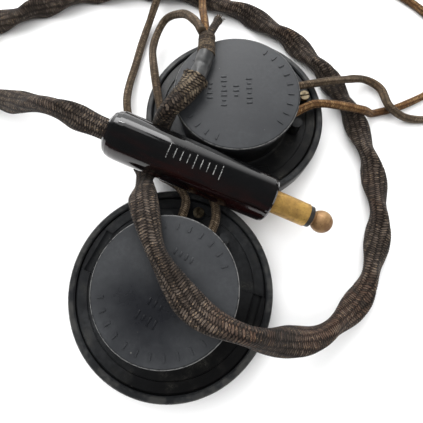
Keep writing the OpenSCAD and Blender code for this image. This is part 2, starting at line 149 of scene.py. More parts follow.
def longer(points, start=0.0, end=0.0):
    """The route with its two ends drawn out, so that a piece reaches into its neighbour."""
    p = np.array(points, float)
    first = p[0] + (p[0] - p[1]) / np.linalg.norm(p[0] - p[1]) * start
    last = p[-1] + (p[-1] - p[-2]) / np.linalg.norm(p[-1] - p[-2]) * end
    return np.vstack([first, p[1:-1], last])


# ---------------------------------------------------------------- meshes


def make_mesh(name, verts, faces, values=None, uvs=None):
    """A smooth mesh object from vertices in millimetres, with one number per vertex for each named value."""
    mesh = bpy.data.meshes.new(name)
    mesh.from_pydata((np.asarray(verts) * MM).tolist(), [], [list(f) for f in faces])
    mesh.shade_smooth()
    for key, numbers in (values or {}).items():
        layer = mesh.attributes.new(key, "FLOAT", "POINT")
        layer.data.foreach_set("value", np.asarray(numbers, np.float32).ravel())
    if uvs is not None:
        mesh.uv_layers.new(name="braid").data.foreach_set("uv", np.asarray(uvs, np.float32).ravel())
    ob = bpy.data.objects.new(name, mesh)
    bpy.context.collection.objects.link(ob)
    return ob


def grid_faces(rows, around):
    i, k = np.meshgrid(np.arange(rows - 1), np.arange(around), indexing="ij")
    a = i * around + k
    b = i * around + (k + 1) % around
    faces = np.stack([a, b, b + around, a + around], axis=-1).reshape(-1, 4).tolist()
    faces.append(list(range(around))[::-1])
    faces.append(list(range((rows - 1) * around, rows * around)))
    return faces


def grid_uvs(run, around):
    """For each corner of grid_faces: turns round the cord, and lengths of BRAID_MAP along it."""
    i, k = np.meshgrid(np.arange(len(run) - 1), np.arange(around), indexing="ij")
    u = np.stack([k, k + 1, k + 1, k], axis=-1) / around
    v = np.stack([run[i], run[i], run[i + 1], run[i + 1]], axis=-1) / BRAID_MAP
    return np.vstack([np.stack([u, v], axis=-1).reshape(-1, 2), np.zeros((2 * around, 2))])


def scatter(a, b, c):
    """A number from 0 to 1 that looks random and depends only on its three inputs."""
    wave = np.sin(a * 12.9898 + b * 78.233 + c * 37.719) * 43758.5453
    return wave - np.floor(wave)


def braid_pattern(angle, run, strands, pitch, drift):
    """Height and tone of a two-over-two braid at angles and distances; strands run both ways round."""
    turn = strands * (angle / (2 * math.pi) + run * drift)
    a = turn + run / pitch
    b = turn - run / pitch
    ia, ib = np.floor(a), np.floor(b)
    fa, fb = a - ia, b - ib
    place = np.mod(ia + ib, 4)
    first = place < 2
    across = np.where(first, fa, fb) * 2 - 1
    along = np.where(first, (place + fb) / 2, (place - 2 + fa) / 2)
    height = np.sqrt(np.clip(1 - across ** 2, 0, 1)) * (0.3 + 0.7 * np.sin(math.pi * np.clip(along, 0, 1)))
    one = np.where(first, np.mod(ia, strands), np.mod(ib, strands) + 50)
    tone = 0.55 * scatter(one, 0, 3) + 0.45 * scatter(ia, ib, 7)
    return height, tone


def swept(name, path, run, radii, values=None):
    """A tube round a path whose radius differs at every ring and every angle."""
    side, top = route_frames(path)
    around = radii.shape[1]
    angle = np.linspace(0, 2 * math.pi, around, endpoint=False)
    ring = np.cos(angle)[None, :, None] * side[:, None] + np.sin(angle)[None, :, None] * top[:, None]
    verts = path[:, None] + radii[:, :, None] * ring
    return make_mesh(name, verts.reshape(-1, 3), grid_faces(len(path), around), values, grid_uvs(run, around))


def around_angles(count):
    return np.linspace(0, 2 * math.pi, count, endpoint=False)[None, :]


def oval_radius(angle, half_width, half_height, turned):
    c, s = np.cos(angle - turned), np.sin(angle - turned)
    return half_width * half_height / np.sqrt((half_height * c) ** 2 + (half_width * s) ** 2)


def slow_noise(run, length, seed):
    """Smooth random numbers from -1 to 1 along a cord, one bump in about every length millimetres."""
    rng = np.random.default_rng(seed)
    knots = rng.uniform(-1, 1, int(run[-1] / length) + 4)
    x = run / length
    i = np.floor(x).astype(int)
    f = x - i
    f = f * f * (3 - 2 * f)
    return knots[i] * (1 - f) + knots[i + 1] * f


CORD_BRAID = (10, 0.66, 1 / 260)
LEAD_BRAID = (6, 0.55, 1 / 180)
DOUBLE_BRAID = (10, 0.85, 1 / 90)


def main_cord():
    """Oval braid that turns slowly over, round where it goes into the plug, on edge where it nears the junction."""
    plug_end, junction_end = 26, 425
    round_half, wider, flatter = 2.9, 0.72, 0.62
    path, run = smooth_route(longer(MAIN, end=0.6), 0.176)
    turns = np.interp(run, EDGE_ON, np.arange(len(EDGE_ON)))
    turns += np.where(run < EDGE_ON[0], (run - EDGE_ON[0]) / (EDGE_ON[1] - EDGE_ON[0]), 0)
    turned = math.pi * (turns + 0.5)
    oval = np.clip((run - plug_end) / 8, 0, 1)
    last = np.clip((run - junction_end) / 6, 0, 1)
    swell = 1 + 0.06 * slow_noise(run, 11, 4)
    half_width = round_half + wider * oval * swell * (1 - last) - 0.1 * last
    half_height = round_half - flatter * oval * (1 - 0.1 * last)
    turned = turned * (1 - last) + (turned[-1] // math.pi + 0.5) * math.pi * last
    lift = np.sqrt((half_width * np.sin(turned)) ** 2 + (half_height * np.cos(turned)) ** 2) + FLOOR_GAP
    path[:, 2] = np.maximum(path[:, 2], lift)
    angle = around_angles(36)
    height, _ = braid_pattern(angle, run[:, None], *CORD_BRAID)
    radii = oval_radius(angle, half_width[:, None], half_height[:, None], turned[:, None])
    return swept("main_cord_braid", path, run, radii + 0.17 * (height - 0.72)), path, run


def lead(name, points, seed, step):
    """Fine round braid, a little uneven."""
    path, run = smooth_route(points, step)
    path[:, 2] = np.maximum(path[:, 2], LEAD_R + FLOOR_GAP)
    angle = around_angles(20)
    height, _ = braid_pattern(angle, run[:, None], *LEAD_BRAID)
    swell = 1 + 0.05 * slow_noise(run, 5, seed)
    radii = 1.24 * swell[:, None] + 0.12 * (height - 0.6)
    return swept(name, path, run, radii), path, run


def doubled_braid():
    """The cord's braid pulled back over itself: wider, flattened, with a rolled rim at its end."""
    path, run = smooth_route(np.vstack([MAIN[-2:], longer(BRAID, end=0.5)[1:]]), 0.1)
    angle = around_angles(72)
    x = run[:, None] / run[-1]
    height, _ = braid_pattern(angle, run[:, None], *DOUBLE_BRAID)
    wave = 0.14 * np.sin(3 * angle + 5 * x) * np.clip(4 * x, 0, 1)
    rim = 0.4 * np.exp(-((run[:, None] - run[-1] + 0.65 - 0.2 * np.sin(2 * angle)) / 0.42) ** 2)
    close = 1 - 0.3 * np.clip((run[:, None] - run[-1] + 0.3) / 0.3, 0, 1) ** 2
    body = oval_radius(angle, 2.35 + 1.15 * np.clip(x, 0, 1) ** 0.8, 2.7 + 0 * x, 0)
    radii = (body + wave + rim) * close + 0.28 * (height - 0.7)
    return swept("doubled_braid", path, run, radii), path, run


def sleeving():
    """Varnished tube, slightly creased, with one shallow dent."""
    path, run = smooth_route(longer(SLEEVING, start=0.8, end=0.5), 0.12)
    angle = around_angles(64)
    s = run[:, None]
    crease = 0.07 * np.sin(2 * angle + 0.5 * s) + 0.05 * np.sin(5 * angle - 0.9 * s + 1)
    dent = -0.16 * np.exp(-(((s - 4.6) / 0.8) ** 2)) * (0.6 + 0.4 * np.cos(angle - 1.9))
    radii = 2.33 + crease + dent
    # the relief value carries the creases to varnish(), which paints a highlight on their ridges
    return swept("black_sleeving", path, run, radii, {"relief": np.clip(0.5 + 3 * crease, 0, 1)}), path, run


def whipping():
    """Thread wound in close turns, with a few turns riding proud, and a domed end."""
    path, run = smooth_route(longer(WHIPPING, start=0.4), 0.055)
    angle = around_angles(60)
    s = run[:, None]
    turn = s / 0.52 + angle / (2 * math.pi)
    f = turn - np.floor(turn)
    height = np.sqrt(np.clip(1 - (2 * f - 1) ** 2, 0, 1))
    number = np.floor(turn)
    proud = 0.11 * (scatter(number, 1, 1) - 0.5)
    dome = np.sqrt(np.clip(1 - np.clip((s - run[-1] + 1.1) / 1.15, 0, 1) ** 2, 0.12, 1))
    radii = (2.36 + proud + 0.06 * np.sin(2 * angle + s)) * dome + 0.19 * (height - 0.6)
    tone = 0.6 * scatter(number, 4, 2) + 0.4 * scatter(np.floor(angle * 8), number, 5)
    return swept("thread_whipping", path, run, radii, {"relief": height, "tone": tone}), path, run


def tie_stub():
    """Short cut end of the tie cord, its strands frayed out."""
    rings = sides = 5
    each = rings * sides
    path, run = smooth_route(longer(STUB, start=1.2), 0.12)
    angle = around_angles(20)
    height, tone = braid_pattern(angle, run[:, None], 4, 0.8, 1 / 40)
    flare = 1 + 0.22 * np.clip((run[:, None] - run[-1] + 1.4) / 1.4, 0, 1)
    radii = 1.12 * flare + 0.16 * (height - 0.6)
    side, top = route_frames(path)
    ahead = np.cross(top[-1], side[-1])
    verts = [(path[:, None] + radii[:, :, None] * (np.cos(angle)[0][None, :, None] * side[:, None]
              + np.sin(angle)[0][None, :, None] * top[:, None])).reshape(-1, 3)]
    faces = grid_faces(len(path), angle.shape[1])
    values = [np.stack([height.ravel(), tone.ravel()], axis=1)]
    rng = np.random.default_rng(21)
    start = len(verts[0])
    for _ in range(60):
        r, t = 1.15 * math.sqrt(rng.uniform()), rng.uniform(0, 2 * math.pi)
        out = math.cos(t) * side[-1] + math.sin(t) * top[-1]
        lean = out * rng.uniform(0.1, 0.75) + rng.normal(0, 0.18, 3)
        reach = rng.uniform(0.45, 1.1)
        strand = np.linspace(-0.15, 1, rings)[:, None]
        line = path[-1] + r * out + reach * (strand * ahead + strand ** 2 * lean)
        thin = 0.085 * (1 - 0.45 * np.clip(strand, 0, 1))
        corners = np.linspace(0, 2 * math.pi, sides, endpoint=False)
        ring = np.cos(corners)[None, :, None] * side[-1] + np.sin(corners)[None, :, None] * top[-1]
        verts.append((line[:, None] + thin[:, :, None] * ring).reshape(-1, 3))
        faces += [[start + k for k in face] for face in grid_faces(rings, sides)]
        values.append(np.stack([np.full(each, 0.8), np.full(each, rng.uniform(0.3, 1))], axis=1))
        start += each
    values = np.vstack(values)
    return make_mesh("tie_stub", np.vstack(verts), faces, {"relief": values[:, 0], "tone": values[:, 1]}), path, run


def barrel_marks():
    """A row of worn filled ticks across the top of the plug's barrel, a little proud of it."""
    turn = Matrix.Rotation(PLUG_TURN[2], 3, "Z") @ Matrix.Rotation(PLUG_TURN[1], 3, "Y")
    first, pitch, wide, sunk, proud = -15.5, 1.75, 0.11, BARREL_R - 0.1, BARREL_R + 0.03
    verts, faces = [], []
    for k in range(9):
        along = first - pitch * k
        half = 0.3 if k % 4 == 0 else 0.2
        arc = np.linspace(-half, half, 15) + math.pi + 0.1
        start = len(verts)
        for t in arc:
            for dz, r in ((-wide, sunk), (-wide, proud), (wide, proud), (wide, sunk)):
                here = turn @ Vector((r * math.cos(t), r * math.sin(t), along + dz))
                verts.append(np.array(here) + np.array(PLUG_AT))
        faces += [[start + f for f in face] for face in grid_faces(len(arc), 4)]
    return make_mesh("barrel_marks", verts, faces)


def plate_marks(name, which, rows):
    """Rows of low raised bars standing across each row; rows are (distance from the middle, turn, bar heights)."""
    spacing, half_wide = 1.5, 0.27
    centre = RECEIVERS[which][0]
    verts, faces = [], []
    for away, turn, heights in rows:
        row = Matrix.Rotation(math.radians(turn), 3, "Z")
        for k, height in enumerate(heights):
            at = (k - (len(heights) - 1) / 2) * spacing
            start = len(verts)
            for z, inset in ((-0.05, 0), (0.14, 0.05), (0.2, 0.14)):
                wide, tall = half_wide - inset, height / 2 - inset
                for x, y in ((-wide, -tall), (wide, -tall), (wide, tall), (-wide, tall)):
                    here = row @ Vector((at + x, away + y, 0))
                    verts.append((here[0] + centre[0], here[1] + centre[1], BACK_PLATE_TOP + z))
            faces += [[start + f for f in face] for face in grid_faces(3, 4)]
    return make_mesh(name, verts, faces)


# ---------------------------------------------------------------- node graphs


class Graph:
    """A material's node tree, written as nested calls. Each call returns an output socket."""

    def __init__(self, name):
        self.material = bpy.data.materials.new(name)
        self.material.use_nodes = True
        self.nodes = self.material.node_tree.nodes
        self.links = self.material.node_tree.links
        self.shader = self.nodes["Principled BSDF"]
        self.place = self.node("ShaderNodeTexCoord").outputs["Object"]

    def node(self, kind, **settings):
        made = self.nodes.new(kind)
        for key, value in settings.items():
            setattr(made, key, value)
        return made

    def put(self, socket, value):
        if isinstance(value, bpy.types.NodeSocket):
            self.links.new(value, socket)
        else:
            socket.default_value = value

    def set(self, **sockets):
        for key, value in sockets.items():
            self.put(self.shader.inputs[key.replace("_", " ")], value)

    def math(self, operation, a, b=0.0):
        made = self.node("ShaderNodeMath", operation=operation)
        self.put(made.inputs[0], a)
        self.put(made.inputs[1], b)
        return made.outputs[0]

    def band(self, value, low, high, to_low=0.0, to_high=1.0):
        """Smooth step from low to high."""
        made = self.node("ShaderNodeMapRange", interpolation_type="SMOOTHSTEP")
        self.put(made.inputs["Value"], value)
        made.inputs["From Min"].default_value = low
        made.inputs["From Max"].default_value = high
        made.inputs["To Min"].default_value = to_low
        made.inputs["To Max"].default_value = to_high
        return made.outputs["Result"]

    def mix(self, factor, a, b):
        made = self.node("ShaderNodeMix", data_type="RGBA")
        self.put(made.inputs["Factor"], factor)
        self.put(made.inputs["A"], a)
        self.put(made.inputs["B"], b)
        return made.outputs["Result"]

    def scaled(self, factors, turn=(0, 0, 0), at=(0, 0, 0)):
        """The object's coordinates seen from a place and turn, then stretched by factors."""
        seen = self.place
        if any(turn) or any(at):
            made = self.node("ShaderNodeMapping", vector_type="TEXTURE")
            made.inputs["Location"].default_value = Vector(at) * MM
            made.inputs["Rotation"].default_value = turn
            self.put(made.inputs["Vector"], seen)
            seen = made.outputs[0]
        made = self.node("ShaderNodeVectorMath", operation="MULTIPLY")
        self.put(made.inputs[0], seen)
        made.inputs[1].default_value = factors
        return made.outputs[0]

    def noise(self, scale, detail=3.0, rough=0.55, vector=None):
        """Noise with features of about 1 / scale metres."""
        made = self.node("ShaderNodeTexNoise")
        self.put(made.inputs["Vector"], vector if vector is not None else self.place)
        made.inputs["Scale"].default_value = scale
        made.inputs["Detail"].default_value = detail
        made.inputs["Roughness"].default_value = rough
        return made.outputs["Fac"]

    def cells(self, scale):
        made = self.node("ShaderNodeTexVoronoi", feature="F1")
        self.put(made.inputs["Vector"], self.place)
        made.inputs["Scale"].default_value = scale
        return made.outputs["Distance"]

    def value(self, name):
        """A number kept at each vertex of the mesh."""
        return self.node("ShaderNodeAttribute", attribute_name=name).outputs["Fac"]

    def axes(self, vector=None):
        made = self.node("ShaderNodeSeparateXYZ")
        self.put(made.inputs[0], vector if vector is not None else self.place)
        return made.outputs

    def braid(self, strands, pitch, drift):
        """Height, tone and yarn lines of the two-over-two braid that braid_pattern makes, from the braid map."""
        u, v, _ = self.axes(self.node("ShaderNodeUVMap", uv_map="braid").outputs["UV"])
        along = self.math("MULTIPLY", v, BRAID_MAP)
        turn = self.math("MULTIPLY", self.math("ADD", u, self.math("MULTIPLY", along, drift)), strands)
        row = self.math("DIVIDE", along, pitch)
        row = self.math("ADD", row, self.math("MULTIPLY", self.noise(900, 2), 0.9))
        turn = self.math("ADD", turn, self.math("MULTIPLY", self.noise(700, 2), 0.5))
        a, b = self.math("ADD", turn, row), self.math("SUBTRACT", turn, row)
        ia, ib = self.math("FLOOR", a), self.math("FLOOR", b)
        fa, fb = self.math("SUBTRACT", a, ia), self.math("SUBTRACT", b, ib)
        place = self.math("FLOORED_MODULO", self.math("ADD", ia, ib), 4)
        first = self.math("LESS_THAN", place, 1.5)
        across = self.math("ADD", self.math("MULTIPLY", first, self.math("SUBTRACT", fa, fb)), fb)
        edge = self.math("MULTIPLY", self.math("SUBTRACT", across, 0.5), 2)
        second = self.math("SUBTRACT", 1, first)
        start = self.math("SUBTRACT", place, self.math("MULTIPLY", second, 2))
        other = self.math("ADD", self.math("MULTIPLY", first, self.math("SUBTRACT", fb, fa)), fa)
        float_at = self.math("MULTIPLY", self.math("ADD", start, other), 0.5)
        profile = self.math("SQRT", self.math("SUBTRACT", 1, self.math("MULTIPLY", edge, edge)))
        arch = self.math("SINE", self.math("MULTIPLY", float_at, math.pi))
        height = self.math("MULTIPLY", profile, self.math("ADD", self.math("MULTIPLY", arch, 0.7), 0.3))
        yarns = self.math("SINE", self.math("MULTIPLY", across, 8 * math.pi))
        key = self.node("ShaderNodeCombineXYZ")
        self.put(key.inputs[0], self.math("SUBTRACT", ia, self.math("MULTIPLY", second, start)))
        self.put(key.inputs[1], self.math("SUBTRACT", ib, self.math("MULTIPLY", first, start)))
        self.put(key.inputs[2], first)
        random = self.node("ShaderNodeTexWhiteNoise", noise_dimensions="3D")
        self.put(random.inputs["Vector"], key.outputs[0])
        return height, random.outputs["Value"], yarns

    def bump(self, height, distance, strength=1.0):
        made = self.node("ShaderNodeBump")
        made.inputs["Strength"].default_value = strength
        made.inputs["Distance"].default_value = distance * MM
        self.put(made.inputs["Height"], height)
        self.set(Normal=made.outputs[0])


def grey(level):
    return (level, level, level, 1)


# ---------------------------------------------------------------- materials


def phenolic(name, centre, dust_level, stain):
    """Black moulded phenolic: satin, dusty, stained in one patch, with a painted highlight along the back plate's edge
    and round the cap's lip, and painted shade on the flange under the back plate on the side away from the lamps.
    """
    g = Graph(name)
    x, y, z = g.axes()
    dx = g.math("SUBTRACT", x, centre[0] * MM)
    dy = g.math("SUBTRACT", y, centre[1] * MM)
    radius = g.math("SQRT", g.math("ADD", g.math("MULTIPLY", dx, dx), g.math("MULTIPLY", dy, dy)))
    patchy = g.noise(95, 4, 0.6)
    fine = g.noise(900, 3, 0.6)
    grain = g.noise(4200, 2, 0.5)
    up = g.band(z, (BACK_PLATE_TOP - 0.9) * MM, (BACK_PLATE_TOP - 0.2) * MM)
    plate = g.math("MULTIPLY", up, g.band(radius, (BACK_PLATE_R - 0.3) * MM, (BACK_PLATE_R - 0.6) * MM))
    dust = g.math("MULTIPLY", g.band(patchy, 0.3, 0.72), g.band(fine, 0.2, 0.85))
    dust = g.math("MULTIPLY", dust, dust_level)
    spot = g.math("ADD", g.math("MULTIPLY", g.math("ADD", dx, 3.5 * MM), g.math("ADD", dx, 3.5 * MM)),
                  g.math("MULTIPLY", g.math("ADD", dy, 5 * MM), g.math("ADD", dy, 5 * MM)))
    spot = g.math("ADD", g.math("SQRT", spot), g.math("MULTIPLY", g.math("SUBTRACT", patchy, 0.5), 9 * MM))
    stained = g.math("MULTIPLY", g.math("MULTIPLY", g.band(spot, 15 * MM, 1 * MM), plate), stain)
    specks = g.math("MULTIPLY", g.band(g.cells(380), 0.08, 0.04), g.band(g.noise(260, 1), 0.56, 0.66))
    hollow = g.math("MULTIPLY", g.band(z, 17.5 * MM, 12.6 * MM),
                    g.band(radius, (CAP_BORE_R - 0.05) * MM, (CAP_BORE_R - 0.3) * MM))
    # painted highlight: a light line along the back plate's rounded rim edge, broken up by noise
    corner = g.math("MULTIPLY", g.band(radius, (BACK_PLATE_R - 0.35) * MM, (BACK_PLATE_R - 0.2) * MM),
                    g.band(z, (BACK_PLATE_TOP - 0.5) * MM, (BACK_PLATE_TOP - 0.3) * MM))
    edge = g.math("MULTIPLY", corner, g.band(fine, 0.3, 0.6))
    # painted highlight: a lighter, broken band round the cap's inner lip
    lip = g.math("MULTIPLY", g.band(radius, CAP_BORE_R * MM, (CAP_BORE_R + 0.3) * MM),
                 g.band(z, (CAP_TOP - 0.8) * MM, CAP_TOP * MM))
    rim = g.math("MULTIPLY", lip, g.band(g.noise(320, 3), 0.42, 0.62))
    colour = g.mix(dust, (0.009, 0.0095, 0.0105, 1), (0.066, 0.07, 0.074, 1))
    colour = g.mix(g.math("MULTIPLY", plate, 0.45), colour, (0.052, 0.055, 0.06, 1))
    crumbs = g.math("MULTIPLY", g.band(g.noise(150, 4), 0.5, 0.75), g.band(grain, 0.45, 0.6))
    # painted shade: on the side away from the lamps, the flange under the back plate is painted near-black (next two
    # lines)
    painted_shade_side = g.band(g.math("SUBTRACT", g.math("MULTIPLY", dy, 0.8), g.math("MULTIPLY", dx, 0.5)), 6 * MM, -22 * MM)
    colour = g.mix(g.math("MULTIPLY", hollow, painted_shade_side), colour, (0.003, 0.003, 0.0032, 1))
    colour = g.mix(g.math("MULTIPLY", hollow, crumbs), colour, (0.045, 0.043, 0.036, 1))
    colour = g.mix(stained, colour, (0.006, 0.0065, 0.0085, 1))
    colour = g.mix(g.math("MULTIPLY", specks, 0.5), colour, (0.2, 0.19, 0.17, 1))
    # light grey of the painted highlight on the back plate's edge
    colour = g.mix(g.math("MULTIPLY", edge, 0.6), colour, (0.24, 0.24, 0.235, 1))
    # grey of the painted highlight on the cap's lip
    colour = g.mix(g.math("MULTIPLY", rim, 0.6), colour, (0.05, 0.049, 0.046, 1))
    rough = g.math("ADD", g.band(patchy, 0.25, 0.75, 0.27, 0.42), g.math("MULTIPLY", fine, 0.12))
    rough = g.math("SUBTRACT", rough, g.math("MULTIPLY", stained, 0.12))
    g.set(Base_Color=colour, Roughness=rough)
    g.shader.inputs["Specular IOR Level"].default_value = 0.34
    lines = g.noise(1, 2, 0.6, g.scaled((240, 2600, 2600), (0, 0, 0.6)))
    height = g.math("ADD", g.math("MULTIPLY", fine, 0.5), g.math("ADD", g.math("MULTIPLY", grain, 0.35),
                                                                 g.math("MULTIPLY", lines, 0.3)))
    g.bump(height, 0.05, 0.55)
    return g.material


def shell_plastic():
    """Polished black moulding with a dark red glow painted on its front side only, away from the lamps, faint rubbing
    marks and fine scratches.
    """
    g = Graph("polished_shell")
    along = g.scaled((1, 1, 1), PLUG_TURN, PLUG_AT)
    x, y, z = g.axes(along)
    smear = g.noise(1, 4, 0.6, g.scaled((420, 420, 90), PLUG_TURN, PLUG_AT))
    cloud = g.noise(130, 3)
    scratch = g.noise(1, 2, 0.5, g.scaled((3600, 3600, 110), PLUG_TURN, PLUG_AT))
    # painted light: a dark red glow, as of light through the plastic, painted on the front side only
    red = g.math("MULTIPLY", g.band(y, -0.5 * MM, -5 * MM), g.band(smear, 0.35, 0.65))
    colour = g.mix(red, (0.002, 0.0021, 0.0024, 1), (0.011, 0.0022, 0.002, 1))
    colour = g.mix(g.math("MULTIPLY", g.band(cloud, 0.5, 0.75), 0.3), colour, (0.01, 0.008, 0.008, 1))
    colour = g.mix(g.math("MULTIPLY", g.band(g.cells(420), 0.07, 0.03), 0.3), colour, (0.12, 0.12, 0.11, 1))
    rough = g.math("ADD", g.band(smear, 0.3, 0.75, 0.05, 0.17), g.math("MULTIPLY", g.band(scratch, 0.58, 0.68), 0.12))
    g.set(Base_Color=colour, Roughness=rough)
    g.shader.inputs["Coat Weight"].default_value = 0.35
    g.shader.inputs["Coat Roughness"].default_value = 0.06
    g.bump(g.math("ADD", g.noise(260, 2), g.math("MULTIPLY", scratch, 0.12)), 0.06, 0.35)
    return g.material


def brass(name, bright, brown, dark, rough_low, rough_high):
    """Tarnished turned brass: brown patches, fine dark blotches and fine turning marks."""
    g = Graph(name)
    patch = g.noise(230, 5, 0.65)
    fine = g.noise(1500, 3, 0.6)
    turning = g.noise(1, 3, 0.6, g.scaled((500, 500, 9000), PLUG_TURN, PLUG_AT))
    colour = g.mix(g.band(patch, 0.36, 0.66), bright, brown)
    colour = g.mix(g.math("MULTIPLY", g.band(fine, 0.52, 0.75), 0.6), colour, dark)
    colour = g.mix(g.math("MULTIPLY", g.band(turning, 0.55, 0.8), 0.35), colour, bright)
    rough = g.math("ADD", g.band(patch, 0.3, 0.7, rough_low, rough_high), g.math("MULTIPLY", fine, 0.12))
    g.set(Base_Color=colour, Roughness=rough)
    g.shader.inputs["Metallic"].default_value = 0.55
    g.bump(g.math("ADD", turning, g.math("MULTIPLY", fine, 0.7)), 0.03, 0.5)
    return g.material


def metal(name, light, dark, scale, rough_low, rough_high):
    """Plain dull metal with blotches and a fine rubbed grain."""
    g = Graph(name)
    patch = g.noise(scale, 4, 0.6)
    grain = g.noise(1, 3, 0.6, g.scaled((900, 5200, 5200), (0, 0, 0.4)))
    colour = g.mix(g.band(patch, 0.35, 0.68), light, dark)
    rough = g.math("ADD", g.band(patch, 0.3, 0.7, rough_low, rough_high), g.math("MULTIPLY", grain, 0.14))
    g.set(Base_Color=colour, Roughness=rough)
    g.shader.inputs["Metallic"].default_value = 1
    g.bump(g.math("ADD", patch, grain), 0.03, 0.5)
    return g.material


def matt(name, light, dark, scale, rough, bump_mm):
    """Matt, slightly mottled board or moulding."""
    g = Graph(name)
    patch = g.noise(scale, 4, 0.6)
    fibre = g.noise(2600, 3, 0.6)
    colour = g.mix(g.band(patch, 0.35, 0.68), light, dark)
    colour = g.mix(g.math("MULTIPLY", g.band(fibre, 0.5, 0.75), 0.4), colour, dark)
    g.set(Base_Color=colour, Roughness=g.band(fibre, 0.2, 0.8, rough - 0.1, rough + 0.1))
    g.bump(g.math("ADD", patch, fibre), bump_mm, 0.6)
    return g.material


def winding():
    """Enamelled wire in level turns up the bobbin."""
    g = Graph("enamelled_wire")
    z = g.axes()[2]
    turn = g.math("FRACT", g.math("MULTIPLY", z, 9000))
    ridge = g.math("SINE", g.math("MULTIPLY", turn, math.pi))
    patch = g.noise(700, 3)
    # each turn painted lighter on its crest and darker in its valleys: painted highlight and painted shade
    colour = g.mix(g.band(ridge, 0.1, 0.9), (0.06, 0.018, 0.008, 1), (0.42, 0.15, 0.05, 1))
    colour = g.mix(g.math("MULTIPLY", g.band(patch, 0.4, 0.7), 0.5), colour, (0.2, 0.06, 0.025, 1))
    g.set(Base_Color=colour, Roughness=g.band(patch, 0.2, 0.8, 0.22, 0.4))
    g.shader.inputs["Metallic"].default_value = 0.6
    g.bump(ridge, 0.05, 0.8)
    return g.material


def textile(name, groove_shade_and_dark_fibre, dark, mid, light, fleck, pattern=None, rust=None):
    """Braided cotton: threads of several tones, worn patches, light flecks, fuzz, painted shade in the grooves and
    between the yarns, and crests painted lighter, partly by wear and partly as a painted highlight.
    """
    g = Graph(name)
    if pattern:
        relief, tone, yarns = g.braid(*pattern)
    else:
        relief, tone, yarns = g.value("relief"), g.value("tone"), g.noise(3000, 1)
    fibre = g.noise(5200, 2, 0.6)
    patch = g.noise(120, 3, 0.6)
    broad = g.noise(38, 2, 0.5)
    mottle = g.math("ADD", g.math("MULTIPLY", tone, 0.4), g.math("MULTIPLY", patch, 0.9))
    colour = g.mix(g.band(mottle, 0.4, 0.95), dark, mid)
    if rust:
        colour = g.mix(g.math("MULTIPLY", g.band(broad, 0.5, 0.66), g.band(mottle, 0.45, 0.9)), colour, rust)
    # lighter on the crests where the tone is high: partly wear, partly a painted highlight
    colour = g.mix(g.math("MULTIPLY", g.band(mottle, 0.62, 0.95), g.band(relief, 0.3, 0.95)), colour, light)
    flecks = g.math("MULTIPLY", g.band(g.noise(2300, 2, 0.7), 0.56, 0.68), g.band(relief, 0.5, 0.9))
    colour = g.mix(g.math("MULTIPLY", flecks, g.band(patch, 0.3, 0.6, 0.2, 0.9)), colour, fleck)
    # painted shade in the lines between the yarns
    colour = g.mix(g.band(yarns, 0.2, -0.9, 0.0, 0.4), colour, groove_shade_and_dark_fibre)
    # darker fibres at random
    colour = g.mix(g.band(fibre, 0.35, 0.7, 0.0, 0.35), colour, groove_shade_and_dark_fibre)
    # painted shade in the grooves between the strands
    colour = g.mix(g.band(relief, 0.78, 0.25), colour, groove_shade_and_dark_fibre)
    g.set(Base_Color=colour, Roughness=g.band(fibre, 0.2, 0.8, 0.75, 0.95))
    g.shader.inputs["Sheen Weight"].default_value = 0.04
    g.shader.inputs["Specular IOR Level"].default_value = 0.2
    height = g.math("ADD", relief, g.math("ADD", g.math("MULTIPLY", yarns, 0.08), g.math("MULTIPLY", fibre, 0.5)))
    g.bump(height, 0.12, 0.8)
    return g.material


def varnish():
    """Varnished black sleeving: glossy, crackled and blotchy, with a painted highlight along the raised creases."""
    g = Graph("varnished_sleeving")
    relief = g.value("relief")
    patch = g.noise(420, 4, 0.6)
    colour = g.mix(g.band(patch, 0.3, 0.8), (0.025, 0.026, 0.027, 1), (0.055, 0.055, 0.054, 1))
    # painted highlight: lighter grey on the raised creases
    colour = g.mix(g.band(relief, 0.4, 0.9, 0.0, 0.25), colour, (0.13, 0.125, 0.12, 1))
    g.set(Base_Color=colour, Roughness=g.band(patch, 0.25, 0.75, 0.34, 0.44))
    g.bump(g.math("ADD", g.noise(1800, 3), g.cells(900)), 0.05, 0.5)
    return g.material


def mark_paint():
    g = Graph("worn_filling")
    worn = g.noise(2600, 3, 0.7)
    g.set(Base_Color=g.mix(g.band(worn, 0.38, 0.6), (0.33, 0.33, 0.32, 1), (0.03, 0.03, 0.03, 1)),
          Roughness=g.band(worn, 0.2, 0.8, 0.45, 0.7))
    return g.material


def wear(ob, material):
    """Gives an object one material, in every slot it has."""
    if not ob.material_slots:
        ob.data.materials.append(material)
    for slot in ob.material_slots:
        slot.material = material


# ---------------------------------------------------------------- build

add_camera()

lower = phenolic("phenolic_lower", RECEIVERS["lower"][0], 0.42, 0.9)
upper = phenolic("phenolic_upper", RECEIVERS["upper"][0], 0.46, 0.0)
fibre_board = matt("fibre_board", (0.3, 0.21, 0.12, 1), (0.17, 0.11, 0.06, 1), 300, 0.8, 0.08)
iron = metal("lacquered_iron", grey(0.35), (0.14, 0.12, 0.1, 1), 180, 0.35, 0.6)
magnet_steel = metal("magnet_steel", grey(0.2), (0.07, 0.06, 0.055, 1), 240, 0.5, 0.75)
bobbin = matt("bobbin_moulding", (0.16, 0.07, 0.03, 1), (0.07, 0.03, 0.015, 1), 500, 0.6, 0.05)
copper = winding()
screw = metal("worn_nickel", (0.62, 0.58, 0.5, 1), (0.25, 0.2, 0.13, 1), 900, 0.25, 0.5)
old_screw = metal("browned_screw", (0.36, 0.3, 0.2, 1), (0.1, 0.07, 0.04, 1), 700, 0.3, 0.55)
terminal_brass = metal("dull_brass", (0.62, 0.45, 0.2, 1), (0.25, 0.16, 0.07, 1), 800, 0.3, 0.55)
